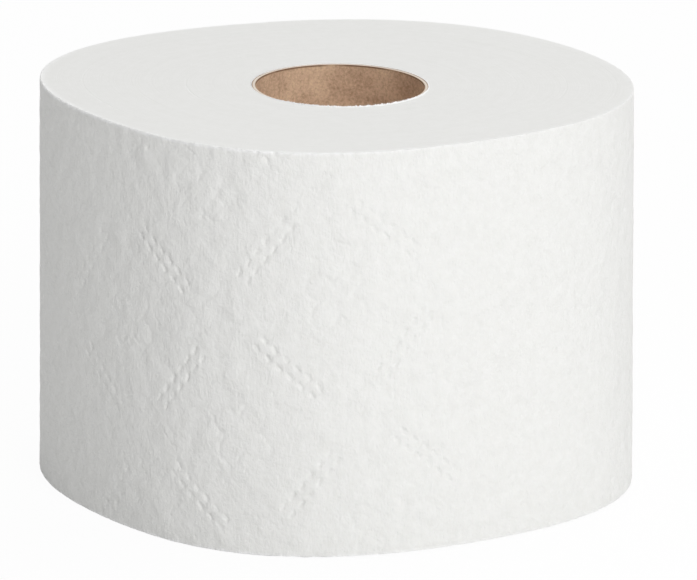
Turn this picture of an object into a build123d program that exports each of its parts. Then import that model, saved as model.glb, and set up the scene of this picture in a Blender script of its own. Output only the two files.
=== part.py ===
"""Toilet paper roll standing on its end: a wound tissue web on a spiral cardboard core.

Millimetres, +Z up. The origin is on the axis of the core, in the plane of the lower end.
The wall that faces -Y is the one that the photograph shows. Angles are in degrees.
"""

from build123d import *
import math
import os

# The web
SHEET_WIDTH = 96.5  # height of the standing roll
SHEET_THICKNESS = 0.3  # two embossed plies, loose
ROLL_DIAMETER = 137.6  # mean of the out-of-round section
TAIL_ANGLE = 105.0  # direction of the web's free end

# The core
CORE_BORE = 41.3
CORE_WALL = 0.85
PLY_SEAM_WIDTH = 0.5  # gap between two edges of the inner ply
PLY_SEAM_DEPTH = 0.2
PLY_SEAM_PITCH = 92.0  # height gained in one turn of the seam
PLY_SEAM_ANGLE = 255.0  # where the seam leaves the lower end

# How far the soft roll is out of round: (swell, direction of a high point)
OFF_CENTRE = (2.6, 112.0)
OVAL = (1.25, -6.0)
EGG_SHAPE = (1.2, 25.0)
PACKING_FLATS = (1.65, 74.0)
WALL_ARCS = 18  # arcs that make up the outline

# Bands of turns that stand out on both ends, parted by one shallow spiral groove
TURN_BANDS = 4
BAND_GROOVE_WIDTH = 0.6
BAND_GROOVE_DEPTH = 0.3
BAND_MARGIN = 1.0  # plain paper from the groove's middle to the core and to the wall
BAND_POINTS = 12  # points of the spiral in each turn

# Embossing: a pair of strokes across the middle of each side of a lattice of squares
LATTICE_SIDE = 39.8
LATTICE_TILT = -34.0  # direction of the squares' first side, from level
LATTICE_CORNER = (172.4, 56.5)  # one corner, along the outer turn from its root, and up
STROKE_LENGTH = 19.0  # at most, as the curve of the wall runs a straight stroke out
STROKE_WIDTH = 0.9
STROKE_DEPTH = 0.3
STROKE_GAP = 2.7  # between the middles of a pair
STROKE_SLEW = -5.0  # how far a stroke is turned from its side of the square

TOOL_CLEARANCE = 1.0  # how far a cutting tool runs out of the paper

core_radius = CORE_BORE / 2 + CORE_WALL


def at(radius, angle, z=0.0):
    """Point at a radius, an angle and a height."""
    return Vector(radius, 0, z).rotate(Axis.Z, angle)


def wall_radius(angle):
    """Mean radius of the outer turn at an angle."""
    radius = ROLL_DIAMETER / 2
    for order, (swell, high_point) in enumerate((OFF_CENTRE, OVAL, EGG_SHAPE, PACKING_FLATS), 1):
        radius += swell * math.cos(math.radians(order * (angle - high_point)))
    return radius


def on_wall(turned, z=0.0):
    """Point on the outer turn, which climbs by one sheet from its root to the tail's edge."""
    climb = SHEET_THICKNESS * (turned / 360 - 0.5)
    return at(wall_radius(TAIL_ANGLE + turned) + climb, TAIL_ANGLE + turned, z)


def outer_turn():
    """Outline of the outer turn, from its root under the tail to the tail's edge."""
    points = [on_wall(180 * step / WALL_ARCS) for step in range(2 * WALL_ARCS + 1)]
    return Wire([ThreePointArc(*points[i : i + 3]) for i in range(0, 2 * WALL_ARCS, 2)])


def web_outline():
    """Section of the wound web, with the tail's edge as a step."""
    turn = outer_turn()
    return make_face(turn.edges() + [Line(turn @ 1, turn @ 0)])


def band_spiral(offset, z):
    """Spiral from the core out to the wall, moved outwards by an offset."""
    points = []
    for step in range(TURN_BANDS * BAND_POINTS + 1):
        share = step / (TURN_BANDS * BAND_POINTS)
        angle = TAIL_ANGLE + 360 * TURN_BANDS * share
        inner = core_radius + BAND_MARGIN
        outer = wall_radius(angle) - BAND_MARGIN
        points.append(at(inner + (outer - inner) * share + offset, angle, z))
    return Spline(*points)


def half_mouth(width, depth):
    """Half the width of a V-shaped cutting tool where it runs out of the paper."""
    return width / 2 * (1 + TOOL_CLEARANCE / depth)


def band_groove(end_z, outward):
    """V-shaped cutting tool along the spiral. outward is 1 on the upper end and -1 on the lower."""
    spread = half_mouth(BAND_GROOVE_WIDTH, BAND_GROOVE_DEPTH)
    mouth_z = end_z + outward * TOOL_CLEARANCE
    edges = [
        band_spiral(-spread, mouth_z),
        band_spiral(spread, mouth_z),
        band_spiral(0.0, end_z - outward * BAND_GROOVE_DEPTH),
    ]
    faces = [Face.make_surface_from_curves(edges[i], edges[i - 1]) for i in range(3)]
    for tip in (0, 1):
        faces.append(Face(Wire.make_polygon([edge @ tip for edge in edges])))
    return Solid(Shell(faces))


def lattice_sides(turn_length):
    """Place along the turn, height and direction of a pair of strokes on each side of the squares."""
    reach = math.ceil((turn_length + SHEET_WIDTH) / LATTICE_SIDE)
    for row in range(-reach, reach + 1):
        for column in range(-reach, reach + 1):
            for across, up, turn in ((column + 0.5, row, 0), (column, row + 0.5, 90)):
                middle = Vector(across, up).rotate(Axis.Z, LATTICE_TILT) * LATTICE_SIDE
                middle += Vector(*LATTICE_CORNER)
                clear_of_tail = STROKE_LENGTH / 2 < middle.X < turn_length - STROKE_LENGTH / 2
                if clear_of_tail and -STROKE_LENGTH / 2 < middle.Y < SHEET_WIDTH + STROKE_LENGTH / 2:
                    yield middle.X, middle.Y, LATTICE_TILT + turn + STROKE_SLEW


def emboss_strokes():
    """V-shaped cutting tools, each laid straight on the wall."""
    spread = half_mouth(STROKE_WIDTH, STROKE_DEPTH)
    mouth = [(spread, TOOL_CLEARANCE), (-spread, TOOL_CLEARANCE)]
    section = Polygon((0, -STROKE_DEPTH), *mouth, align=None)
    stroke = extrude(Plane.YZ * section, amount=STROKE_LENGTH / 2, both=True)
    pair = [Pos(0, side * STROKE_GAP / 2, 0) * stroke for side in (-1, 1)]
    tools = []
    turn = outer_turn()
    for along, z, direction in lattice_sides(turn.length):
        foot = turn.position_at(along, PositionMode.LENGTH)
        tangent = turn.tangent_at(along, PositionMode.LENGTH)
        wall = Plane(foot + Vector(0, 0, z), x_dir=tangent, z_dir=tangent.cross(Vector(0, 0, 1)))
        tools += [wall * Rot(0, 0, direction) * tool for tool in pair]
    return tools


def tissue_roll():
    """The whole web as one solid, embossed, with its bands of turns on both ends."""
    roll = extrude(web_outline(), amount=SHEET_WIDTH)
    roll -= Pos(0, 0, SHEET_WIDTH / 2) * Cylinder(core_radius, SHEET_WIDTH)
    roll -= emboss_strokes()
    roll -= band_groove(SHEET_WIDTH, 1)
    roll -= band_groove(0.0, -1)
    return roll


def ply_seam():
    """Helical cutting tool along the joint of the core's inner ply."""
    start_angle = PLY_SEAM_ANGLE - 360 * TOOL_CLEARANCE / PLY_SEAM_PITCH
    helix = Helix(PLY_SEAM_PITCH, SHEET_WIDTH + 2 * TOOL_CLEARANCE, CORE_BORE / 2)
    path = Pos(0, 0, -TOOL_CLEARANCE) * Rot(0, 0, start_angle) * helix
    across = Plane(origin=path @ 0, x_dir=at(1, start_angle), z_dir=path % 0)
    return sweep(across * Rectangle(2 * PLY_SEAM_DEPTH, PLY_SEAM_WIDTH), path=path, is_frenet=True)


def cardboard_core():
    """Spirally wound tube, cut flush with the web."""
    tube = Cylinder(core_radius, SHEET_WIDTH) - Cylinder(CORE_BORE / 2, SHEET_WIDTH)
    return Pos(0, 0, SHEET_WIDTH / 2) * tube - ply_seam()


def main():
    os.makedirs("parts", exist_ok=True)
    for name, piece in (("tissue_roll", tissue_roll()), ("cardboard_core", cardboard_core())):
        export_step(piece, f"parts/{name}.step")


main()
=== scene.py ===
"""Looks of a toilet paper roll: the embossed tissue web, its cardboard core and loose paper lint.

Metres, +Z up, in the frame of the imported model. The origin is on the axis of the core, in the
plane of the lower end, and the wall that faces -Y is the one that the photograph shows.
"""

from functools import partial
from math import cos, pi, radians, sin, tau

import bpy
import numpy as np
from mathutils import Matrix, Vector


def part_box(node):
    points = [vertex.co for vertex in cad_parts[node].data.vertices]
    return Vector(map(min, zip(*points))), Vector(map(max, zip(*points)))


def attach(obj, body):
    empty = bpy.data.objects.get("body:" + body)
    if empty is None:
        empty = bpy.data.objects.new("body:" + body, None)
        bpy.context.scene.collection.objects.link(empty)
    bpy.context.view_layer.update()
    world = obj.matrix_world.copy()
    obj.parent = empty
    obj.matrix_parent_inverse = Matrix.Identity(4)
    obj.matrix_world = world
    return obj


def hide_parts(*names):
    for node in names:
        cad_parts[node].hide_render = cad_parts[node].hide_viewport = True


bl_info = {
    "name": "Toilet paper roll",
    "version": (1, 0, 0),
    "blender": (4, 5, 0),
    "location": "3D View > Sidebar > Paper roll",
    "description": "Builds an embossed tissue roll on its cardboard core, in a white studio",
    "category": "Add Mesh",
}

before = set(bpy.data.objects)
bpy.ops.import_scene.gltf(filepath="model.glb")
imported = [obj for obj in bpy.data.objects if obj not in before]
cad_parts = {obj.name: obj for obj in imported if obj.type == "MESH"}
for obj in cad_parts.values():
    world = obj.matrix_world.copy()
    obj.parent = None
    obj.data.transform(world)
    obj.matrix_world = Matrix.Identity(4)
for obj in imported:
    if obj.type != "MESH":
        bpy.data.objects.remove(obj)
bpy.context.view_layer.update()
CORE_LOW, CORE_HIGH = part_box("cardboard_core")

VECTOR_MATH = "ShaderNodeVectorMath"
MAP_RANGE = "ShaderNodeMapRange"
NOISE = "ShaderNodeTexNoise"
MIX = "ShaderNodeMix"
COMBINE = "ShaderNodeCombineXYZ"
SEPARATE = "ShaderNodeSeparateXYZ"
ROTATE = "ShaderNodeVectorRotate"
RANDOM = "FunctionNodeRandomValue"
JOIN = "GeometryNodeJoinGeometry"
SMOOTH = {"interpolation_type": "SMOOTHSTEP"}
COLOURS = {"data_type": "RGBA", "out": 2}  # the two colours are inputs 6 and 7
MM = 0.001
TRIANGLE_LIMIT = 190000
WELD = {"Distance": 0.002 * MM}  # points nearer than this become one
OUTLINE_STRETCH = 1.00365  # what the waves of the outline add to its length
RINGS_PER_BAND = 6  # of faces on each end
DRAWN_TURNS = 94.6  # steps of noise between the core and the wall
END_NORMAL = 0.6  # a face is on an end if its normal points up or down by more
FLECK = (-0.02748, -0.06225, 0.05515)  # the middle of the one dark fleck on the wall
WHITE = (1.0, 1.0, 1.0, 1.0)
LIT_POINT = Vector((0.0, 0.0, 0.05))  # what the lamps look at


def linear(hex_colour):
    """Linear colour for an sRGB hex value."""
    parts = [int(hex_colour[i : i + 2], 16) / 255 for i in (1, 3, 5)]
    return tuple(c / 12.92 if c <= 0.04045 else ((c + 0.055) / 1.055) ** 2.4 for c in parts) + (1.0,)


def give(node, inputs):
    """Gives a node's inputs a value or a link each, and an input a link to each part of a list."""
    for key, value in inputs.items():
        for part in value if isinstance(value, list) else [value]:
            if isinstance(part, bpy.types.NodeSocket):
                node.id_data.links.new(part, node.inputs[key])
            elif part is not None:
                node.inputs[key].default_value = part


def add_node(tree, kind, *values, out=0, named=(), **more):
    """Adds a node and gives its inputs their values or links, in order or by name.

    A text in front of the values is the node's operation, and an operation without a kind is that of
    a Math node. More names are settings where they are in small letters, and inputs where they have
    a capital. Other functions are given this one as add, bound to their tree.
    """
    if kind.isupper():
        kind, values = "ShaderNodeMath", (kind, *values)
    node = tree.nodes.new(kind)
    if values and isinstance(values[0], str):
        node.operation, *values = values
    for key in filter(str.islower, more):
        setattr(node, key, more[key])
    inputs = {key: value for key, value in more.items() if not key.islower()}
    give(node, dict(enumerate(values)) | dict(named) | inputs)
    return node if out is None else node.outputs[out]


def setting(name, value, text, scale=1.0, **more):
    """A number that a user would change, or a row of numbers, given in a unit of that scale."""
    if isinstance(value, tuple):
        row = [part * scale for part in value]
        return bpy.props.FloatVectorProperty(
            name=name, description=text, default=row, size=len(row), **more
        )
    return bpy.props.FloatProperty(name=name, description=text, default=value * scale, **more)


measure = partial(setting, scale=MM, unit="LENGTH")  # in millimetres
direction = partial(setting, scale=radians(1), unit="ROTATION")  # in degrees
power = partial(setting, unit="POWER")  # in watts


def count(name, number, least, text):
    """A whole number that a user would change, with the least that works."""
    return bpy.props.IntProperty(name=name, description=text, default=number, min=least)


def colour(name, hex_colour, text):
    """A colour that a user would change, given as its sRGB hex value."""
    return bpy.props.FloatVectorProperty(
        name=name, description=text, default=linear(hex_colour), size=4, subtype="COLOR"
    )


class RollSizes(bpy.types.PropertyGroup):
    """Sizes of the wound web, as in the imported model."""

    sheet_width: measure("Sheet width", 96.5, "Height of the standing roll")
    mean_diameter: measure("Mean diameter", 137.6, "Mean of the out-of-round section")
    sheet_thickness: measure("Sheet thickness", 0.3, "Step at the web's free end")
    tail_angle: direction("Tail angle", 105, "Direction of the web's free end")
    swells: measure(
        "Swells",
        (2.6, 1.25, 1.2, 1.65),
        "How far the roll is off centre, oval, egg-shaped and flattened by packing",
    )
    high_points: direction("High points", (112, -6, 25, 74), "Direction of a high point of each swell")
    turn_bands: count("Turn bands", 4, 1, "Bands of turns that stand out on both ends")
    groove_width: measure("Band groove width", 0.6, "Width of the spiral groove")
    groove_depth: measure("Band groove depth", 0.3, "Depth of the spiral groove")
    band_margin: measure("Band margin", 1.0, "Plain paper inside and outside the bands")
    rim_softness: measure("Rim softness", 0.3, "How far the cut edge is worn round")
    proud_turns: measure("Proud turns", 0.22, "How far the outermost turns stand above each end")
    proud_middle: direction("Proud direction", 220, "Middle of the arc where they do")
    draw_in: measure("Draw-in", 0.6, "How far the soft wall leans in at the upper end")
    spread: measure("Spread", 0.2, "How far the foot gives under the roll's weight")
    slackness: measure("Slackness", 0.3, "How far the outer turn stands off in soft waves")
    puckers: measure("Puckers", 0.42, "Height of the small puckers between embossed marks")
    wall_step: measure("Wall step", 0.33, "Distance between mesh points on the wall")


class EmbossSizes(bpy.types.PropertyGroup):
    """Sizes of the embossing: dashes across the sides of a lattice of squares, and blossoms in them."""

    lattice_side: measure("Lattice side", 39.8, "Side of a square")
    lattice_tilt: direction("Lattice tilt", -34, "Direction of a square's first side")
    lattice_corner: measure(
        "Lattice corner", (172.4, 56.5), "One corner, along the outer turn from its root, and up"
    )
    stroke_slew: direction("Stroke slew", -5, "Turn of a row from its side")
    row_gap: measure("Row gap", 2.7, "Between the two rows of dashes")
    dash_count: count("Dashes", 6, 2, "Dashes in a row, an even number")
    dash_pitch: measure("Dash pitch", 3.34, "From one dash to the next")
    dash_length: measure("Dash length", 2.2, "Length of a dash")
    dash_width: measure("Dash width", 1.05, "Width of a dash")
    dash_lean: direction("Dash lean", 12, "Turn of each dash towards upright")
    dash_depth: measure("Dash depth", 0.46, "Depth of a dash")
    press_seed: setting("Pressing seed", 4.7, "Another spread of firm and faint marks")
    blossom_radius: measure("Blossom radius", 6.5, "Mean radius of the blossom's outline")
    blossom_depth: measure("Blossom depth", 0.17, "Depth of the faint outline")


class CoreSizes(bpy.types.PropertyGroup):
    """Sizes of the spirally wound core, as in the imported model."""

    bore: measure("Bore", 41.3, "Inner diameter")
    wall: measure("Wall", 0.85, "Thickness of the board")
    squash: measure("Squash", 0.8, "How far the core is pressed in from both sides")
    squash_angle: direction("Squash direction", 20, "Side that it is pressed in from")
    stand_off: measure("Stand-off", 0.12, "Gap to the first turns on the left")
    recess: measure("Recess", 0.35, "How far the core's ends lie below the web's")
    torn_height: measure("Torn height", 0.34, "How far the torn inner turn stands up")
    torn_thickness: measure("Torn thickness", 0.24, "Thickness of the torn inner turn")
    torn_middle: direction("Torn direction", -80, "Middle of the arc where it is torn")
    seam_width: measure("Seam width", 0.5, "Gap between two edges of the inner ply")
    seam_depth: measure("Seam depth", 0.2, "Depth of the gap")
    seam_pitch: measure("Seam pitch", 92, "Height gained in one turn")
    seam_angle: direction("Seam angle", 255, "Where the seam leaves the lower end")
    columns: count("Columns", 240, 24, "Mesh columns round the core")
    rings: count("Rings", 96, 8, "Mesh rings up the core")


class LintSizes(bpy.types.PropertyGroup):
    """Sizes of the loose fibres on the cut edges."""

    hole_count: count("Hole fibres", 1800, 1, "Places round the hole")
    rim_count: count("Rim fibres", 2600, 1, "Places round the rim")
    length: measure("Fibre length", 0.5, "Length of a long fibre")
    thickness: measure("Fibre thickness", 0.09, "Width of a fibre")
    seed: count("Seed", 7, 0, "Another scatter for each number")


class PaperColours(bpy.types.PropertyGroup):
    """Colours of the paper and the board, in linear light."""

    tissue: colour("Tissue", "#F2F2F0", "Soft white tissue")
    tissue_thin: colour("Thin tissue", "#EBEBE8", "Tissue where it is thin")
    board: colour("Board", "#DBBBA0", "Grey-brown core board")
    board_fibre: colour("Board fibres", "#EBCFAE", "Pale fibres in the board")
    board_fleck: colour("Board flecks", "#9A7B60", "Dark flecks in the board")
    board_edge: colour("Board edge", "#E9DFD3", "Cut end of the board")


class StudioSettings(bpy.types.PropertyGroup):
    """Camera and light of the white studio."""

    distance: measure("Camera distance", 1720, "From the middle of the roll")
    elevation: direction("Camera elevation", 15.11, "Above the horizon")
    lens: setting("Lens", 371.55, "Focal length on a 36 mm wide sensor", unit="CAMERA")
    key_power: power("Key light", 13.6, "Soft box above and to the right of the camera")
    side_power: power("Side light", 2.1, "Weak soft box on the right")
    top_power: power("Top light", 6.0, "Soft box above the roll")
    back_power: power("Back light", 5.5, "Soft box behind the roll")
    sky_strength: setting("Sky", 0.375, "Even light from all round")


def wall_radius(add, angle, sizes):
    """Nodes for the radius of the outer turn at an angle: a circle with four swells."""
    radius = sizes.mean_diameter / 2
    for order, (swell, high_point) in enumerate(zip(sizes.swells, sizes.high_points), 1):
        turned = add("MULTIPLY_ADD", angle, order, -order * high_point)
        wave = add("COSINE", turned)
        radius = add("MULTIPLY_ADD", wave, swell, radius)
    return radius


def core_radius(add, angle, core, wall):
    """Nodes for the radius of the squashed core at an angle: its bore, plus a wall."""
    turned = add("MULTIPLY_ADD", angle, 2.0, -2 * core.squash_angle)
    wave = add("COSINE", turned)
    return add("MULTIPLY_ADD", wave, -core.squash, core.bore / 2 + wall)


def angle_off(add, angle, middle):
    """Nodes for how far an angle is from a direction, either way round."""
    off = add("ADD", angle, -middle)
    off = add("WRAP", off, pi, -pi)
    return add("ABSOLUTE", off)


def on_circle(add, angle, up):
    """Nodes for the place at an angle on a circle of radius 1, with a height."""
    return add(COMBINE, add("COSINE", angle), add("SINE", angle), up)


def length_along(add, turned, sizes):
    """Nodes for the length along the outer turn, from its root under the tail."""
    along = add("MULTIPLY", turned, sizes.mean_diameter / 2)
    for order, (swell, high_point) in enumerate(zip(sizes.swells, sizes.high_points), 1):
        start = order * (sizes.tail_angle - high_point)
        wave = add("MULTIPLY_ADD", turned, order, start)
        wave = add("SINE", wave)
        wave = add("SUBTRACT", wave, sin(start))
        along = add("MULTIPLY_ADD", wave, swell / order, along)
    return add("MULTIPLY", along, OUTLINE_STRETCH)


def from_nearest(add, cells, offset, side):
    """Nodes for a place from the nearest of the spots with one offset in each square."""
    shifted = add(VECTOR_MATH, "SUBTRACT", cells, offset)
    near = add(VECTOR_MATH, "WRAP", shifted, (0.5, 0.5, 0.5), (-0.5, -0.5, -0.5))
    return add(VECTOR_MATH, "SCALE", near, Scale=side)


def dash_rows(add, cells, emboss, offset, row_angle, lean):
    """Nodes that mark the two rows of dashes across each side of one kind, from 0 to 1."""
    placed = from_nearest(add, cells, offset, emboss.lattice_side)
    stroke = add(ROTATE, placed, Angle=-row_angle, rotation_type="Z_AXIS")
    along, across = add(SEPARATE, stroke, out=None).outputs[:2]
    half = emboss.dash_count // 2
    number = add("MULTIPLY_ADD", along, 1 / emboss.dash_pitch, -0.5)
    number = add("ROUND", number)
    number = add("MAXIMUM", number, -half)
    number = add("MINIMUM", number, half - 1)
    number = add("ADD", number, 0.5)
    past = add("MULTIPLY_ADD", number, -emboss.dash_pitch, along)
    side = add("SIGN", across)
    beside = add("MULTIPLY_ADD", side, -emboss.row_gap / 2, across)
    dash = add(COMBINE, past, beside)
    dash = add(ROTATE, dash, Angle=-lean, rotation_type="Z_AXIS")
    beyond, beside = add(SEPARATE, dash, out=None).outputs[:2]
    beyond = add("ABSOLUTE", beyond)
    beyond = add("SUBTRACT", beyond, (emboss.dash_length - emboss.dash_width) / 2)
    beyond = add("MAXIMUM", beyond, 0.0)
    away = add(COMBINE, beyond, beside)
    away = add(VECTOR_MATH, "LENGTH", away, out="Value")
    edges = (0.05 * emboss.dash_width, 0.72 * emboss.dash_width, 1.0, 0.0)
    return add(MAP_RANGE, away, *edges, **SMOOTH)


def emboss_depth(add, along, up, emboss):
    """Nodes for how deep the embossing is at a place on the unrolled web."""
    place = add(COMBINE, along, up)
    uneven = add(NOISE, place, Scale=0.3 / MM, Detail=1.0)
    uneven = add(MAP_RANGE, uneven, 0.3, 0.6, 0.45, 1.0)
    # The rollers press firmly in some patches, and only faintly in others.
    patch = add(COMBINE, along, up, emboss.press_seed)
    firm = add(NOISE, patch, Scale=0.015 / MM, Detail=0.0)
    firm = add(MAP_RANGE, firm, 0.42, 0.64, 0.3, 1.1)
    uneven = add("MULTIPLY", uneven, firm)
    rough = add(NOISE, place, Scale=0.45 / MM, Detail=2.0, out="Color")
    rough = add(VECTOR_MATH, "SUBTRACT", rough, (0.5, 0.5, 0.5))
    rough = add(VECTOR_MATH, "SCALE", rough, Scale=0.9 * MM)
    place = add(VECTOR_MATH, "ADD", place, rough)
    corner = (*emboss.lattice_corner, 0.0)
    place = add(VECTOR_MATH, "SUBTRACT", place, corner)
    place = add(ROTATE, place, Angle=-emboss.lattice_tilt, rotation_type="Z_AXIS")
    cells = add(VECTOR_MATH, "SCALE", place, Scale=1 / emboss.lattice_side)
    slew, lean = emboss.stroke_slew, emboss.dash_lean
    falling = dash_rows(add, cells, emboss, (0.5, 0.0, 0.0), slew, -lean)
    rising = dash_rows(add, cells, emboss, (0.0, 0.5, 0.0), slew + pi / 2, lean)
    dashes = add("MAXIMUM", falling, rising)
    dashes = add("MULTIPLY", dashes, emboss.dash_depth)
    # A plain four-petalled blossom, faint, in the middle of each square.
    middle = from_nearest(add, cells, (0.5, 0.5, 0.0), emboss.lattice_side)
    across, high = add(SEPARATE, middle, out=None).outputs[:2]
    petal = add("ARCTAN2", high, across)
    petal = add("MULTIPLY", petal, 2.0)
    petal = add("COSINE", petal)
    petal = add("ABSOLUTE", petal)
    spread = emboss.blossom_radius
    outline = add("MULTIPLY_ADD", petal, 0.7 * spread, 0.55 * spread)
    out = add(VECTOR_MATH, "LENGTH", middle, out="Value")
    off = add("SUBTRACT", out, outline)
    off = add("ABSOLUTE", off)
    line = add(MAP_RANGE, off, 0.1 * MM, 1.2 * MM, 1.0, 0.0, **SMOOTH)
    line = add("MULTIPLY", line, emboss.blossom_depth)
    pressed = add("MAXIMUM", dashes, line)
    return add("MULTIPLY", pressed, uneven)


def new_form_tree(name, values):
    """A geometry tree with an input for each named value, its add function and its inputs."""
    tree = bpy.data.node_groups.new(name, "GeometryNodeTree")
    tree.interface.new_socket(name="Geometry", in_out="OUTPUT", socket_type="NodeSocketGeometry")
    for label, value in values.items():
        kind = "NodeSocketInt" if isinstance(value, int) else "NodeSocketFloat"
        tree.interface.new_socket(name=label, in_out="INPUT", socket_type=kind)
    add = partial(add_node, tree)
    return tree, add, add("NodeGroupInput", out=None).outputs


def finish_form(add, geometry, material):
    """Ends a geometry tree with real meshes that carry their material."""
    real = add("GeometryNodeRealizeInstances", geometry)
    painted = add("GeometryNodeSetMaterial", real, Material=material)
    add("NodeGroupOutput", painted, out=None)


def make_plain(piece):
    """Turns a piece and its modifier into a plain mesh."""
    depsgraph = bpy.context.evaluated_depsgraph_get()
    mesh = bpy.data.meshes.new_from_object(piece.evaluated_get(depsgraph))
    piece.modifiers.clear()
    piece.data = mesh
    mesh.name = piece.name


def values_of(settings, *labels):
    """The values for a geometry tree, from the settings that its inputs are named after."""
    return {label: getattr(settings, label.lower().replace(" ", "_")) for label in labels}


def grow(name, tree, values, material):
    """Runs a geometry tree on an empty mesh and returns the result as a plain mesh object."""
    piece = bpy.data.objects.new(name, bpy.data.meshes.new(name))
    bpy.context.scene.collection.objects.link(piece)
    form = piece.modifiers.new("Form", "NODES")
    form.node_group = tree
    for socket in tree.interface.items_tree:
        if socket.item_type == "SOCKET" and socket.in_out == "INPUT":
            form[socket.identifier] = values[socket.name]
    make_plain(piece)
    if not piece.data.polygons:
        raise RuntimeError(f"{name} came out empty")
    if not piece.data.materials:
        piece.data.materials.append(material)
    piece.data.shade_smooth()
    return piece


def thin_out(piece, kept):
    """Merges faces where a mesh is flattest, down to the limit of triangles. Kept points stay."""
    triangles = sum(len(polygon.vertices) - 2 for polygon in piece.data.polygons)
    if triangles <= TRIANGLE_LIMIT:
        return
    free = piece.vertex_groups.new(name="free")
    free.add(np.flatnonzero(~kept).tolist(), 1.0, "REPLACE")
    fewer = piece.modifiers.new("Fewer triangles", "DECIMATE")
    fewer.ratio = TRIANGLE_LIMIT / triangles
    fewer.vertex_group = free.name
    make_plain(piece)
    piece.vertex_groups.clear()


def grid(add, columns, rings):
    """Adds a flat grid and gives its geometry and each point's column and ring number."""
    sizes = {"Size X": 1.0, "Size Y": 1.0, "Vertices X": columns, "Vertices Y": rings}
    mesh = add("GeometryNodeMeshGrid", **sizes)
    places = add(SEPARATE, add("GeometryNodeInputPosition"), out=None).outputs
    numbers = []
    for axis, total in enumerate((columns, rings)):
        last = add("ADD", total, -1.0)
        place = add("ADD", places[axis], 0.5)
        place = add("MULTIPLY", place, last)
        numbers.append(add("ROUND", place))
    return mesh, *numbers


def rolled(add, mesh, angle, radius, up):
    """Nodes that put a grid's points at an angle, a radius and a height."""
    across = add("COSINE", angle)
    across = add("MULTIPLY", across, radius)
    deep = add("SINE", angle)
    deep = add("MULTIPLY", deep, radius)
    point = add(COMBINE, across, deep, up)
    return add("GeometryNodeSetPosition", mesh, Position=point)


def ring_heights(add, ring, given, width):
    """Nodes that mark the rings of the wall and give their heights.

    Three rings lie close together round the rim at each end, and the rest are evenly spaced.
    """
    soft = given["Rim softness"]
    last_ring = add("ADD", given["Wall rings"], -1.0)
    step = add("ADD", ring, -1.0)
    middle_ring = add("MULTIPLY", last_ring, 0.5)
    half_count = add("ADD", middle_ring, 0.1)
    on_wall = add("COMPARE", step, middle_ring, half_count)
    step = add("MAXIMUM", step, 0.0)
    step = add("MINIMUM", step, last_ring)
    to_top = add("SUBTRACT", last_ring, step)
    from_top = add("ADD", last_ring, -2.0)
    straight_top = add("SUBTRACT", width, soft)
    up = add(MAP_RANGE, step, 2.0, from_top, soft, straight_top)
    for rings_off, sign in ((step, -0.5), (to_top, 0.5)):
        short = add("SUBTRACT", 2.0, rings_off)
        short = add("MAXIMUM", short, 0.0)
        short = add("MULTIPLY", short, soft)
        up = add("MULTIPLY_ADD", short, sign, up)
    return on_wall, up


def wall_sheet(add, given, whole, sizes, emboss):
    """Nodes for the soft wall. Its last strip, from the tail back to the root, is a cut edge."""
    width, soft = sizes.sheet_width, given["Rim softness"]
    past_whole = add("ADD", whole, 1.0)
    rings = add("ADD", given["Wall rings"], 2.0)
    mesh, column, ring = grid(add, past_whole, rings)
    column = add("MODULO", column, whole)
    share = add("DIVIDE", column, given["Columns"])
    turned = add("MULTIPLY", share, tau)
    angle = add("ADD", turned, sizes.tail_angle)
    radius = wall_radius(add, angle, sizes)
    on_wall, up = ring_heights(add, ring, given, width)
    depth = emboss_depth(add, length_along(add, turned, sizes), up, emboss)
    climb = add("MULTIPLY_ADD", share, sizes.sheet_thickness, -sizes.sheet_thickness / 2)
    outer = add("ADD", radius, climb)
    outer = add("SUBTRACT", outer, depth)
    # Soft waves and puckers. Their noise is read on a roll of radius 1.
    place = on_circle(add, angle, add("MULTIPLY", up, 2 / sizes.mean_diameter))
    wave = add(NOISE, place, Scale=2.2, Detail=2.0, Roughness=0.45)
    wave = add("SUBTRACT", wave, 0.5)
    outer = add("MULTIPLY_ADD", wave, given["Slackness"], outer)
    pucker = add(NOISE, place, Scale=15.0, Detail=2.0, Roughness=0.5)
    pucker = add("SUBTRACT", pucker, 0.5)
    outer = add("MULTIPLY_ADD", pucker, given["Puckers"], outer)
    lean = add(MAP_RANGE, up, 0.0, width, sizes.spread, -sizes.draw_in)
    outer = add("ADD", outer, lean)
    # The cut edges are worn round.
    above = add("SUBTRACT", up, width / 2)
    to_edge = add("ABSOLUTE", above)
    to_edge = add("SUBTRACT", width / 2, to_edge)
    worn = add("DIVIDE", to_edge, soft)
    worn = add("SUBTRACT", 1.0, worn)
    worn = add("MAXIMUM", worn, 0.0)
    rounded = add("POWER", worn, 2.0)
    rounded = add("MULTIPLY", rounded, soft)
    outer = add("SUBTRACT", outer, rounded)
    # The rim lies level with the end, except along an arc where the outermost turns stand proud.
    from_arc = angle_off(add, angle, sizes.proud_middle)
    from_arc = add("MULTIPLY_ADD", pucker, 1.2, from_arc)
    dip = add(MAP_RANGE, from_arc, radians(32), radians(55), 0.0, 1.0, **SMOOTH)
    dip = add("MULTIPLY", dip, given["Proud turns"])
    end_dip = add(MIX, on_wall, None, given["Proud turns"], dip)
    end_dip = add("MULTIPLY", end_dip, worn)
    which = add("SIGN", above)
    end_dip = add("MULTIPLY", end_dip, which)
    up = add("SUBTRACT", up, end_dip)
    margin = add("SUBTRACT", radius, sizes.band_margin)
    reach = add(MIX, on_wall, None, margin, outer)
    return rolled(add, mesh, angle, reach, up)


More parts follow.
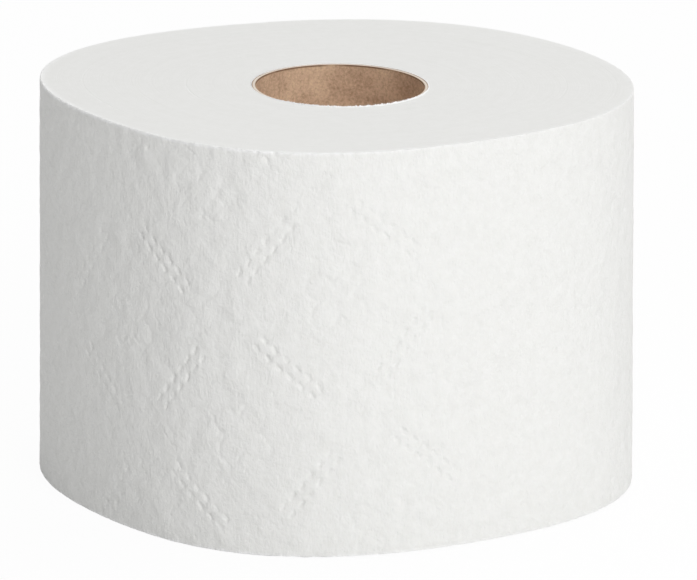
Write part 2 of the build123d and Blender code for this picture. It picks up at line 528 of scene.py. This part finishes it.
def bore_sheet(add, given, whole, levels, sizes, core):
    """Nodes for the bore and the plain margin round it, with a torn lip round the upper end."""
    mesh, column, ring = grid(add, whole, 6)
    turned = add("DIVIDE", column, given["Columns"])
    angle = add("MULTIPLY_ADD", turned, tau, sizes.tail_angle)
    hole = core_radius(add, angle, core, core.wall)
    # The first turns stand off the core at the left. Rings 0 and 5 are the margins on the ends.
    from_left = add("WRAP", angle, tau, 0.0)
    from_left = add("ADD", from_left, -pi)
    from_left = add("ABSOLUTE", from_left)
    gap = add(MAP_RANGE, from_left, radians(25), radians(70), core.stand_off, 0.0)
    in_bore = add("COMPARE", ring, 2.5, 2.1)
    gap = add("MULTIPLY", gap, in_bore)
    hole = add("ADD", hole, gap)
    out = add(MAP_RANGE, ring, 1.0, 3.0, given["Torn thickness"], 0.0)
    out = add(MIX, in_bore, None, sizes.band_margin, out)
    reach = add("ADD", hole, out)
    up = add("LESS_THAN", ring, 3.5)
    up = add(MIX, up, None, *levels)
    # The lip is high and ragged at the front, and nearly level round the back.
    off = angle_off(add, angle, core.torn_middle)
    front = add(MAP_RANGE, off, radians(50), radians(75), 1.0, 0.1)
    ragged = add(MAP_RANGE, off, radians(25), radians(55), 1.0, 0.3)
    place = add(COMBINE, add("MULTIPLY", angle, hole))
    teeth = add(NOISE, place, Scale=0.9 / MM, Detail=3.0, Roughness=0.7)
    teeth = add(MAP_RANGE, teeth, 0.45, 0.75, -0.1, 1.4)
    teeth = add("MULTIPLY_ADD", teeth, ragged, 0.55)
    teeth = add("MULTIPLY", teeth, front)
    raised = add("COMPARE", ring, 2.5, 0.6)
    teeth = add("MULTIPLY", teeth, raised)
    up = add("MULTIPLY_ADD", teeth, given["Torn height"], up)
    return rolled(add, mesh, angle, reach, up)


def end_sheet(add, given, whole, level, side, sizes, core):
    """Nodes for one end: rings of faces that follow the spiral of turn bands. Side is 1 or -1."""
    bands = sizes.turn_bands
    mesh, column, ring = grid(add, whole, RINGS_PER_BAND * (bands + 1) + 1)
    share = add("DIVIDE", column, given["Columns"])
    angle = add("MULTIPLY_ADD", share, tau, sizes.tail_angle)
    # Slot 0 is the bottom of the groove, and slots 1 and 5 are a band's edges beside it. The small
    # number keeps a ring from being rounded into the band below.
    band = add("DIVIDE", ring, RINGS_PER_BAND)
    band = add("ADD", band, 1e-4)
    band = add("FLOOR", band)
    slot = add("MULTIPLY_ADD", band, -RINGS_PER_BAND, ring)
    part = add(MAP_RANGE, slot, 1.0, 5.0, 0.0, 1.0)
    turns = add("ADD", band, share)
    turns = add("ADD", turns, part)
    turns = add("ADD", turns, -1.0)
    spread = add(MAP_RANGE, turns, 0.0, bands, 0.0, 1.0)
    first = add("COMPARE", slot, 1.0, 0.5)
    last = add("COMPARE", slot, 5.0, 0.5)
    beside = add("SUBTRACT", first, last)
    limit = add("SUBTRACT", wall_radius(add, angle, sizes), sizes.band_margin)
    margin = add("ADD", core_radius(add, angle, core, core.wall), sizes.band_margin)
    room = add("SUBTRACT", limit, margin)
    reach = add("MULTIPLY_ADD", room, spread, margin)
    fade_in = add(MAP_RANGE, turns, 0.0, 0.04, 0.0, 1.0)
    fade_out = add(MAP_RANGE, turns, bands - 0.04, bands, 1.0, 0.0)
    faded = add("MULTIPLY", fade_in, fade_out)
    beside = add("MULTIPLY", beside, faded)
    reach = add("MULTIPLY_ADD", beside, sizes.groove_width / 2, reach)
    reach = add("MAXIMUM", reach, margin)
    reach = add("MINIMUM", reach, limit)
    sunk = add("COMPARE", slot, 0.0, 0.5)
    sunk = add("MULTIPLY", sunk, faded)
    # The bands press together in most places, so the groove between them comes and goes.
    open_share = add(NOISE, on_circle(add, angle, turns), Scale=1.1, Detail=1.0)
    open_share = add(MAP_RANGE, open_share, 0.45, 0.75, 0.03, 0.18)
    sunk = add("MULTIPLY", sunk, open_share)
    up = add("MULTIPLY_ADD", sunk, -side * sizes.groove_depth, level)
    end = rolled(add, mesh, angle, reach, up)
    return add("GeometryNodeFlipFaces", end) if side > 0 else end


def web_form(values, sizes, emboss, core, material):
    """The geometry tree of the wound web: wall, bore and two ends with their spiral of turns."""
    tree, add, given = new_form_tree("Wound tissue web", values)
    whole = add("ADD", given["Columns"], 1.0)
    foot = given["Proud turns"]
    top = add("SUBTRACT", sizes.sheet_width, foot)
    sheets = [wall_sheet(add, given, whole, sizes, emboss)]
    sheets.append(bore_sheet(add, given, whole, (foot, top), sizes, core))
    for level, side in ((top, 1), (foot, -1)):
        sheets.append(end_sheet(add, given, whole, level, side, sizes, core))
    finish_form(add, add("GeometryNodeMergeByDistance", add(JOIN, sheets), **WELD), material)
    return tree


class ROLL_OT_tissue_web(bpy.types.Operator):
    """Builds the wound tissue web with its embossing and its two ends"""

    bl_idname = "roll.tissue_web"
    bl_label = "Tissue web"

    def execute(self, context):
        sizes, core = context.scene.roll_sizes, context.scene.roll_core
        material = creped_tissue(context.scene)
        step = sizes.wall_step * 1.0
        columns = round(pi * sizes.mean_diameter / step)
        wall_rings = round(sizes.sheet_width / step) + 1
        values = {"Columns": columns, "Wall rings": wall_rings}
        values |= values_of(sizes, "Slackness", "Puckers", "Rim softness", "Proud turns")
        values |= values_of(core, "Torn height", "Torn thickness")
        form = web_form(values, sizes, context.scene.roll_emboss, core, material)
        web = grow("tissue_web", form, values, material)
        # The worn rim and the torn lip keep all their faces.
        points = np.empty(3 * len(web.data.vertices))
        web.data.vertices.foreach_get("co", points)
        x, y, z = points.reshape(-1, 3).T
        radius = np.hypot(x, y)
        near_end = np.minimum(z, sizes.sheet_width - z) < sizes.rim_softness + 0.01 * MM
        rim = near_end & (radius > 0.85 * sizes.mean_diameter / 2)
        lip_reach = core.bore / 2 + core.wall + core.squash + core.torn_thickness
        lip = (z > sizes.sheet_width / 2) & (radius < lip_reach)
        thin_out(web, rim | lip)
        # The edges of the bore, the grooves and the tail are crisp, and the rim is round.
        web.data.set_sharp_from_angle(angle=radians(50))
        normals = np.empty(3 * len(web.data.polygons))
        web.data.polygons.foreach_get("normal", normals)
        web.data.polygons.foreach_set("use_smooth", np.abs(normals[2::3]) < 0.95)
        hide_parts("tissue_roll")
        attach(web, "root")
        return {"FINISHED"}


def seam_columns(add, column, given, core):
    """Nodes that place a column round the core: 0 to 3 are the seam's edges, the rest even."""
    half = add("MULTIPLY", given["Seam width"], 1 / core.bore)
    floor_half = add("MULTIPLY", half, 0.75)
    far = add("SUBTRACT", tau, half)
    last = add("ADD", given["Columns"], 3.0)
    spot = add(MAP_RANGE, column, 3.0, last, half, far)
    seam = (-1.0, half), (-1.0, floor_half), (1.0, floor_half)
    in_seam = []
    for number, (side, offset) in enumerate(seam):
        here = add("COMPARE", column, number, 0.5)
        edge = add("MULTIPLY", offset, side)
        spot = add(MIX, here, None, spot, edge)
        in_seam.append(here)
    return spot, add("ADD", in_seam[1], in_seam[2])


def board_sheet(add, mesh, column, outside, up, given, core):
    """Nodes that lay a sheet of faces on the board: on its outside, or in its bore and seam."""
    spot, in_seam = seam_columns(add, column, given, core)
    angle = add("MULTIPLY_ADD", up, tau / core.seam_pitch, core.seam_angle)
    angle = add("ADD", angle, spot)
    depth = add("MULTIPLY", in_seam, given["Seam depth"])
    inner = add("ADD", core_radius(add, angle, core, 0.0), depth)
    reach = add(MIX, outside, None, inner, core_radius(add, angle, core, core.wall))
    return rolled(add, mesh, angle, reach, up)


def core_form(values, core, material):
    """The geometry tree of the core: a tube whose columns follow the helical seam of its inner ply."""
    tree, add, given = new_form_tree("Spirally wound core", values)
    whole = add("ADD", given["Columns"], 4.0)
    rings = add("MULTIPLY_ADD", given["Rings"], 2.0, 2.0)
    mesh, column, ring = grid(add, whole, rings)
    # The rings go up the bore and down the outside.
    back = add("ADD", given["Rings"], 0.5)
    outside = add("GREATER_THAN", ring, back)
    last = add("ADD", rings, -1.0)
    down = add("SUBTRACT", last, ring)
    step = add(MIX, outside, None, ring, down)
    step = add("DIVIDE", step, given["Rings"])
    up = add("MULTIPLY", step, CORE_HIGH.z - CORE_LOW.z - 2 * core.recess)
    up = add("ADD", up, core.recess)
    tube = board_sheet(add, mesh, column, outside, up, given, core)
    # One more strip joins the last ring to the first, so the lower end is closed too.
    mesh, column, ring = grid(add, whole, 2)
    outside = add("SUBTRACT", 1.0, ring)
    foot = board_sheet(add, mesh, column, outside, core.recess, given, core)
    closed = add("GeometryNodeMergeByDistance", add(JOIN, [tube, foot]), **WELD)
    closed = add("GeometryNodeFlipFaces", closed)
    finish_form(add, closed, material)
    return tree


class ROLL_OT_cardboard_core(bpy.types.Operator):
    """Builds the spirally wound cardboard core"""

    bl_idname = "roll.cardboard_core"
    bl_label = "Cardboard core"

    def execute(self, context):
        core = context.scene.roll_core
        material = core_board(context.scene)
        values = values_of(core, "Columns", "Rings", "Seam width", "Seam depth")
        tube = grow("core_tube", core_form(values, core, material), values, material)
        tube.data.set_sharp_from_angle(angle=radians(40))
        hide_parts("cardboard_core")
        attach(tube, "root")
        return {"FINISHED"}


def fibre_ring(add, fibre, places, angle, ring, arc, tilts, given):
    """Nodes for tufts of loose fibres along a ring: most of them in one arc, at tilts between two."""
    seeds = [add("ADD", given["Seed"], 10.0 * i) for i in range(3)]
    points = rolled(add, add("GeometryNodePoints", places), angle, *ring)
    low, high = (-0.2 * MM, -0.2 * MM, -0.1 * MM), (0.2 * MM, 0.2 * MM, 0.05 * MM)
    shift = add(RANDOM, low, high, Seed=seeds[0], data_type="FLOAT_VECTOR")
    points = add("GeometryNodeSetPosition", points, Offset=shift)
    # Fibres stand where the noise is below their share, which is greatest in the arc.
    place = add("GeometryNodeInputPosition")
    clump = add(NOISE, place, Scale=0.26 / MM, Detail=1.0)
    middle, near, far = arc
    off = angle_off(add, angle, middle)
    share = add(MAP_RANGE, off, radians(near), radians(far), 0.7, 0.27)
    kept = add("LESS_THAN", clump, share)
    low, high = (-0.3, tilts[0], 0.0), (0.3, tilts[1], tau)
    spin = add(RANDOM, low, high, Seed=seeds[1], data_type="FLOAT_VECTOR")
    size = add(RANDOM, None, None, 0.35, 1.0, Seed=seeds[2], out=1)
    size = add("MULTIPLY", size, given["Length"])
    tufts = {"Points": points, "Selection": kept, "Instance": fibre, "Rotation": spin, "Scale": size}
    return add("GeometryNodeInstanceOnPoints", **tufts)


def lint_form(values, sizes, core, material):
    """The geometry tree of the loose fibres on the cut edges: round the hole and along the rim."""
    tree, add, given = new_form_tree("Loose paper lint", values)
    curve = (0.0, 0.0, 0.0), (0.3, 0.22, 0.25), (1.0, 0.0, 0.1)
    bend = add("GeometryNodeCurveQuadraticBezier", 3, *curve)
    section = add("GeometryNodeCurvePrimitiveCircle", Resolution=3, Radius=1.0)
    # The fibre is one unit long, so its section is the ratio of the two sizes.
    slim = add("DIVIDE", given["Thickness"], given["Length"])
    slim = add("MULTIPLY", slim, 0.5)
    slim = add(COMBINE, slim, slim, slim)
    section = add("GeometryNodeTransform", section, Scale=slim)
    fibre = add("GeometryNodeCurveToMesh", bend, section, **{"Fill Caps": True})
    rings = []
    for label in ("Hole count", "Rim count"):
        angle = add("MULTIPLY", add("GeometryNodeInputIndex"), tau)
        angle = add("DIVIDE", angle, given[label])
        if label == "Hole count":
            ring = core_radius(add, angle, core, core.wall), sizes.sheet_width - sizes.proud_turns
            arc, tilts = (core.torn_middle, 25, 60), (-1.4, -0.3)
        else:
            reach = add("ADD", wall_radius(add, angle, sizes), -sizes.draw_in - 0.2 * MM)
            ring = reach, sizes.sheet_width - sizes.proud_turns / 2
            arc, tilts = (sizes.proud_middle, 25, 45), (-0.5, 0.2)
        rings.append(fibre_ring(add, fibre, given[label], angle, ring, arc, tilts, given))
    finish_form(add, add(JOIN, rings), material)
    return tree


class ROLL_OT_paper_lint(bpy.types.Operator):
    """Scatters loose paper fibres round the hole and along the rim"""

    bl_idname = "roll.paper_lint"
    bl_label = "Paper lint"

    def execute(self, context):
        scene = context.scene
        material = paper_lint(scene)
        values = values_of(scene.roll_lint, "Hole count", "Rim count", "Length", "Thickness", "Seed")
        form = lint_form(values, scene.roll_sizes, scene.roll_core, material)
        fibres = grow("paper_lint", form, values, material)
        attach(fibres, "root")
        return {"FINISHED"}


def new_material(name):
    """A material with nodes, its add function and the object's own coordinates."""
    material = bpy.data.materials.new(name)
    material.use_nodes = True
    add = partial(add_node, material.node_tree)
    return material, add, add("ShaderNodeTexCoord", out="Object")


def paint(material, looks):
    """Gives a material's shader its looks: a value or a link each."""
    give(material.node_tree.nodes["Principled BSDF"], looks)
    return material


def on_end(add):
    """Nodes that mark the faces of both ends."""
    facing = add("ShaderNodeNewGeometry", out="Normal")
    facing = add(SEPARATE, facing, out="Z")
    facing = add("ABSOLUTE", facing)
    return add("GREATER_THAN", facing, END_NORMAL)


def about_axis(add, place):
    """Nodes for a place's level part, its distance and angle about the axis, and height."""
    x, y, z = add(SEPARATE, place, out=None).outputs
    level = add(VECTOR_MATH, "MULTIPLY", place, (1.0, 1.0, 0.0))
    radius = add(VECTOR_MATH, "LENGTH", level, out="Value")
    return level, radius, add("ARCTAN2", y, x), z


def wall_relief(add, place, fuzz):
    """Nodes for the wall's relief in millimetres: crepe lines, lumps, billows and soft creases."""
    # Real crepe has about 25 lines per centimetre, drawn 0.5 mm apart to show.
    crepe_place = add(VECTOR_MATH, "MULTIPLY", place, (1.0, 1.0, 0.3))
    crepe = add(NOISE, crepe_place, Scale=1.9 / MM, Detail=2.0, Roughness=0.6)
    lumps = add(NOISE, place, Scale=0.35 / MM, Detail=2.0, Roughness=0.5)
    billows = add(NOISE, place, Scale=0.13 / MM, Detail=1.0)
    relief = 0.0
    for form, height in ((crepe, 0.14), (fuzz, 0.2), (lumps, 0.42), (billows, 0.9)):
        relief = add("MULTIPLY_ADD", form, height, relief)
    # Soft creases run where a slow noise crosses its middle value, and fade out along their way.
    slow = add(NOISE, place, Scale=0.055 / MM, Detail=2.0, Distortion=0.6)
    crease = add("ADD", slow, -0.5)
    crease = add("ABSOLUTE", crease)
    crease = add(MAP_RANGE, crease, 0.0, 0.05, 1.0, 0.0, **SMOOTH)
    fade = add(NOISE, place, Scale=0.09 / MM, Detail=1.0)
    fade = add(MAP_RANGE, fade, 0.45, 0.65, 0.0, 0.09)
    crease = add("MULTIPLY", crease, fade)
    return add("SUBTRACT", relief, crease)


def creped_tissue(scene):
    """Creped two-ply tissue: matt soft white, with upright crepe lines, and turn edges on its ends.

    Tissue is scraped off a drying roller, which folds it into tiny lines across the web. The eye
    reads them as a dull, slightly mottled white that never shines.
    """
    sizes, core, colours = scene.roll_sizes, scene.roll_core, scene.roll_colours
    material, add, place = new_material("Creped two-ply tissue")
    ends = on_end(add)
    fuzz = add(NOISE, place, Scale=1.1 / MM, Detail=3.0, Roughness=0.65)
    web_relief = wall_relief(add, place, fuzz)

    # Turn edges: real turns are 0.16 mm apart, drawn at about 0.5 mm so that they show.
    level, radius, angle, z = about_axis(add, place)
    hole = core_radius(add, angle, core, core.wall)
    wall = wall_radius(add, angle, sizes)
    room = add("SUBTRACT", wall, hole)
    wound = add("SUBTRACT", radius, hole)
    number = add("DIVIDE", wound, room)
    number = add("MULTIPLY", number, DRAWN_TURNS)
    around = add(VECTOR_MATH, "NORMALIZE", level)
    turn_place = add(COMBINE, number, *add(SEPARATE, around, out=None).outputs[:2])
    turns = add(NOISE, turn_place, Scale=1.0, Detail=3.0, Roughness=0.6)
    # Along part of the rim the outer turns lie loose: each shows in the relief, and there the tissue is
    # also painted towards white, a painted highlight where their edges catch the light.
    off_arc = angle_off(add, angle, sizes.proud_middle)
    in_arc = add(MAP_RANGE, off_arc, radians(35), radians(80), 1.0, 0.3)
    ragged = add(NOISE, place, Scale=0.5 / MM, Detail=2.0)
    ragged = add(MAP_RANGE, ragged, 0.35, 0.6, 0.3, 1.0)
    in_arc = add("MULTIPLY", in_arc, ragged)
    from_rim = add("SUBTRACT", wall, radius)
    loose = add(MAP_RANGE, from_rim, 0.9 * MM, 2.6 * MM, 1.0, 0.0)
    below = add("ADD", z, -sizes.sheet_width / 2)
    below = add("ABSOLUTE", below)
    below = add("SUBTRACT", sizes.sheet_width / 2, below)
    lip = add(MAP_RANGE, below, 0.3 * MM, 0.9 * MM, 1.0, 0.0)
    loose = add(MIX, ends, None, lip, loose)
    loose = add("MULTIPLY", loose, in_arc)
    # The torn lip round the hole gets the same relief and the same painted highlight.
    torn = add(MAP_RANGE, wound, core.torn_thickness, 1.6 * core.torn_thickness, 1.0, 0.0)
    loose = add("MAXIMUM", loose, torn)
    turn_height = add("MULTIPLY_ADD", loose, 0.12, 0.03)
    end_relief = add("MULTIPLY", turns, turn_height)
    end_relief = add("MULTIPLY_ADD", fuzz, 0.03, end_relief)

    relief = add(MIX, ends, None, web_relief, end_relief)
    bump = add("ShaderNodeBump", Strength=1.0, Distance=MM, Height=relief)

    # Fibres lie thicker and thinner in patches of 1 to 3 mm.
    cloud = add(NOISE, place, Scale=0.42 / MM, Detail=4.0, Roughness=0.65)
    cloud = add(MAP_RANGE, cloud, 0.35, 0.7, 0.0, 0.6)
    edge_tone = add(MAP_RANGE, turns, 0.35, 0.65, 0.0, 0.3)
    edge_tone = add("MULTIPLY_ADD", cloud, 0.6, edge_tone)
    thin = add(MIX, ends, None, cloud, edge_tone)
    paper = {6: colours.tissue, 7: colours.tissue_thin}
    paper = {6: add(MIX, thin, named=paper, **COLOURS), 7: WHITE}
    # Painted highlight: the loose outer turns and the torn lip are painted towards white.
    painted_highlight = add("MULTIPLY", loose, 0.9)
    lit = add(MIX, painted_highlight, named=paper, **COLOURS)
    # One dark fleck, such as recycled pulp leaves.
    fleck = add(VECTOR_MATH, "DISTANCE", place, FLECK, out="Value")
    fleck = add(MAP_RANGE, fleck, 0.1 * MM, 0.38 * MM, 0.35, 0.0)
    marked = add(MIX, fleck, named={6: lit, 7: linear("#5A5650")}, **COLOURS)
    looks = {"Base Color": marked, "Normal": bump, "Roughness": 0.95, "Specular IOR Level": 0.15}
    return paint(material, looks | {"Sheen Weight": 0.1, "Sheen Roughness": 0.6})


def core_board(scene):
    """Spirally wound core board: grey-brown recycled pulp, matt, with pale fibres and dark flecks.

    Its inside is dull and mottled at 0.2 to 1 mm. The knife leaves its end pale and a little dusty.
    """
    sizes, core, colours = scene.roll_sizes, scene.roll_core, scene.roll_colours
    material, add, place = new_material("Spirally wound core board")
    fibres = add(NOISE, place, Scale=2.0 / MM, Detail=3.0, Roughness=0.7)
    flecks = add(NOISE, place, Scale=1.4 / MM, Detail=4.0, Roughness=0.75)
    slow = add(NOISE, place, Scale=0.12 / MM, Detail=2.0)
    slow = add(MAP_RANGE, slow, 0.35, 0.65, -0.08, 0.08)
    pale = add(MAP_RANGE, add("ADD", fibres, slow), 0.46, 0.74, 0.0, 1.0)
    dark = add(MAP_RANGE, add("SUBTRACT", flecks, slow), 0.42, 0.76, 0.0, 0.75)
    mixed = add(MIX, pale, named={6: colours.board, 7: colours.board_fibre}, **COLOURS)
    speckled = add(MIX, dark, named={6: mixed, 7: colours.board_fleck}, **COLOURS)
    # The knife leaves the end pale, with a browner line along each edge.
    radius, angle, z = about_axis(add, place)[1:]
    middle = core_radius(add, angle, core, core.wall / 2)
    off = add("SUBTRACT", radius, middle)
    off = add("ABSOLUTE", off)
    pale_line = add(MAP_RANGE, off, 0.26 * core.wall, 0.38 * core.wall, 0.95, 0.0)
    end = add(MIX, pale_line, named={6: linear("#B99F86"), 7: colours.board_edge}, **COLOURS)
    # A thin dark line of painted shade runs round the top of the bore, just under its cut end, and
    # comes and goes.
    under = add("SUBTRACT", sizes.sheet_width - core.recess, z)
    under = add(MAP_RANGE, under, 0.25 * MM, 0.5 * MM, 0.85, 0.0)
    patchy = add(NOISE, place, Scale=0.09 / MM, Detail=1.0)
    patchy = add(MAP_RANGE, patchy, 0.4, 0.55, 0.2, 0.95)
    painted_shade_line = add("MULTIPLY", under, patchy)
    bore = add(MIX, painted_shade_line, named={6: speckled, 7: linear("#765640")}, **COLOURS)
    board = add(MIX, on_end(add), named={6: bore, 7: end}, **COLOURS)
    rough = add("ADD", fibres, flecks)
    bump = add("ShaderNodeBump", Strength=0.4, Distance=0.1 * MM, Height=rough)
    looks = {"Base Color": board, "Normal": bump, "Roughness": 0.9, "Specular IOR Level": 0.2}
    return paint(material, looks)


def paper_lint(scene):
    """Loose tissue fibres: painted white, lighter than the tissue, as painted light for the light that
    goes through each one.
    """
    material, add, place = new_material("Loose tissue fibre")
    shade = add(NOISE, place, Scale=0.8 / MM, Detail=1.0)
    mixed = add(MIX, shade, named={6: WHITE, 7: scene.roll_colours.tissue}, **COLOURS)
    return paint(material, {"Base Color": mixed, "Roughness": 0.9})


def studio_floor():
    """White studio board: it shows white to the camera, and keeps part of the roll's shadow.

    Its paint is greyed by the foot of the roll's dark side, a painted shadow, so that less light comes
    back up there.
    """
    material, add, place = new_material("White studio board")
    nodes = material.node_tree.nodes
    nodes.remove(nodes["Principled BSDF"])
    off = add(VECTOR_MATH, "DISTANCE", place, (-0.09, -0.05, 0.0), out="Value")
    # Painted shadow: the paint turns grey near the foot of the roll's dark side.
    grey = add(MAP_RANGE, off, 0.03, 0.14, 1.0, 0.0)
    paint_with_painted_shadow = add(MIX, grey, named={6: linear("#FAFAFA"), 7: linear("#EDEDED")}, **COLOURS)
    board = add("ShaderNodeBsdfDiffuse", paint_with_painted_shadow)
    white = add("ShaderNodeEmission", WHITE, 1.0)
    seen = add("ShaderNodeLightPath", out="Is Camera Ray")
    share = add("MULTIPLY", seen, 0.95)
    shown = add("ShaderNodeMixShader", share, board, white)
    give(nodes["Material Output"], {"Surface": shown})
    return material


def soft_box(name, place, size, watts):
    """Adds a square area lamp that looks at the roll's middle."""
    lamp = bpy.data.lights.new(name, "AREA")
    lamp.size = size
    lamp.energy = watts
    light = bpy.data.objects.new(name, lamp)
    light.location = place
    light.rotation_euler = (LIT_POINT - Vector(place)).to_track_quat("-Z", "Y").to_euler()
    bpy.context.scene.collection.objects.link(light)


class ROLL_OT_studio(bpy.types.Operator):
    """Sets up the floor, the sky, the lamps and the camera"""

    bl_idname = "roll.studio"
    bl_label = "White studio"

    def execute(self, context):
        scene, studio = context.scene, context.scene.roll_studio
        scene.view_settings.view_transform = "Standard"
        mesh = bpy.data.meshes.new("studio_floor")
        reach, z = 6.0, -0.2 * MM  # just below the roll
        corners = [(-reach, -reach, z), (reach, -reach, z), (reach, reach, z), (-reach, reach, z)]
        mesh.from_pydata(corners, [], [(0, 1, 2, 3)])
        mesh.materials.append(studio_floor())
        floor = bpy.data.objects.new("studio_floor", mesh)
        scene.collection.objects.link(floor)

        world = bpy.data.worlds.new("White studio")
        scene.world = world
        world.use_nodes = True
        world.node_tree.nodes.clear()
        add = partial(add_node, world.node_tree)
        path = add("ShaderNodeLightPath", out=None).outputs
        seen = add("MAXIMUM", path["Is Camera Ray"], path["Is Glossy Ray"])
        seen = add("MAXIMUM", seen, path["Is Transmission Ray"])
        lit = add("ShaderNodeBackground", WHITE, studio.sky_strength)
        shown = add("ShaderNodeBackground", WHITE, 1.0)
        sky = add("ShaderNodeMixShader", seen, lit, shown)
        add("ShaderNodeOutputWorld", sky, out=None)

        soft_box("key_soft_box", (0.62, -1.42, 0.95), 0.75, studio.key_power)
        soft_box("side_soft_box", (1.4, -0.15, 0.85), 0.9, studio.side_power)
        soft_box("top_soft_box", (0.05, 0.3, 1.6), 1.2, studio.top_power)
        soft_box("back_soft_box", (0.35, 1.7, 0.9), 0.9, studio.back_power)

        # The camera looks at the middle of the roll's section, a little aside and turned by a hair.
        centre = Vector((-0.000995, 0.002515, scene.roll_sizes.sheet_width / 2))
        aside, down, tilt = 0.001802, 0.001686, 0.0018
        ahead = Vector((0, cos(studio.elevation), -sin(studio.elevation)))
        right = Vector((1, 0, 0))
        above = right.cross(ahead)
        spot = centre - ahead * studio.distance
        look = (ahead + aside * right - down * above).normalized()
        side = look.cross(above).normalized()
        top = side.cross(look)
        side, top = cos(tilt) * side + sin(tilt) * top, cos(tilt) * top - sin(tilt) * side
        lens = bpy.data.cameras.new("camera")
        lens.sensor_width = 36.0
        lens.lens = studio.lens
        lens.clip_end = 50.0
        camera = bpy.data.objects.new("camera", lens)
        turn = Matrix((side, top, -look)).transposed()
        camera.matrix_world = Matrix.Translation(spot) @ turn.to_4x4()
        scene.collection.objects.link(camera)
        scene.camera = camera
        return {"FINISHED"}


class ROLL_PT_panel(bpy.types.Panel):
    """Lists the pieces of the paper roll in the sidebar"""

    bl_idname = "ROLL_PT_panel"
    bl_label = "Paper roll"
    bl_space_type = "VIEW_3D"
    bl_region_type = "UI"
    bl_category = "Paper roll"

    def draw(self, context):
        for operator in OPERATORS:
            self.layout.operator(operator.bl_idname)


GROUPS = {
    "roll_sizes": RollSizes,
    "roll_emboss": EmbossSizes,
    "roll_core": CoreSizes,
    "roll_lint": LintSizes,
    "roll_colours": PaperColours,
    "roll_studio": StudioSettings,
}
OPERATORS = (ROLL_OT_tissue_web, ROLL_OT_cardboard_core, ROLL_OT_paper_lint, ROLL_OT_studio)


def register():
    for name, group in GROUPS.items():
        bpy.utils.register_class(group)
        setattr(bpy.types.Scene, name, bpy.props.PointerProperty(type=group))
    for kind in (*OPERATORS, ROLL_PT_panel):
        bpy.utils.register_class(kind)


def unregister():
    for kind in (ROLL_PT_panel, *reversed(OPERATORS)):
        bpy.utils.unregister_class(kind)
    for name, group in GROUPS.items():
        delattr(bpy.types.Scene, name)
        bpy.utils.unregister_class(group)


def main():
    register()
    bpy.ops.roll.tissue_web()
    bpy.ops.roll.cardboard_core()
    bpy.ops.roll.paper_lint()
    bpy.ops.roll.studio()


if __name__ == "__main__":
    main()
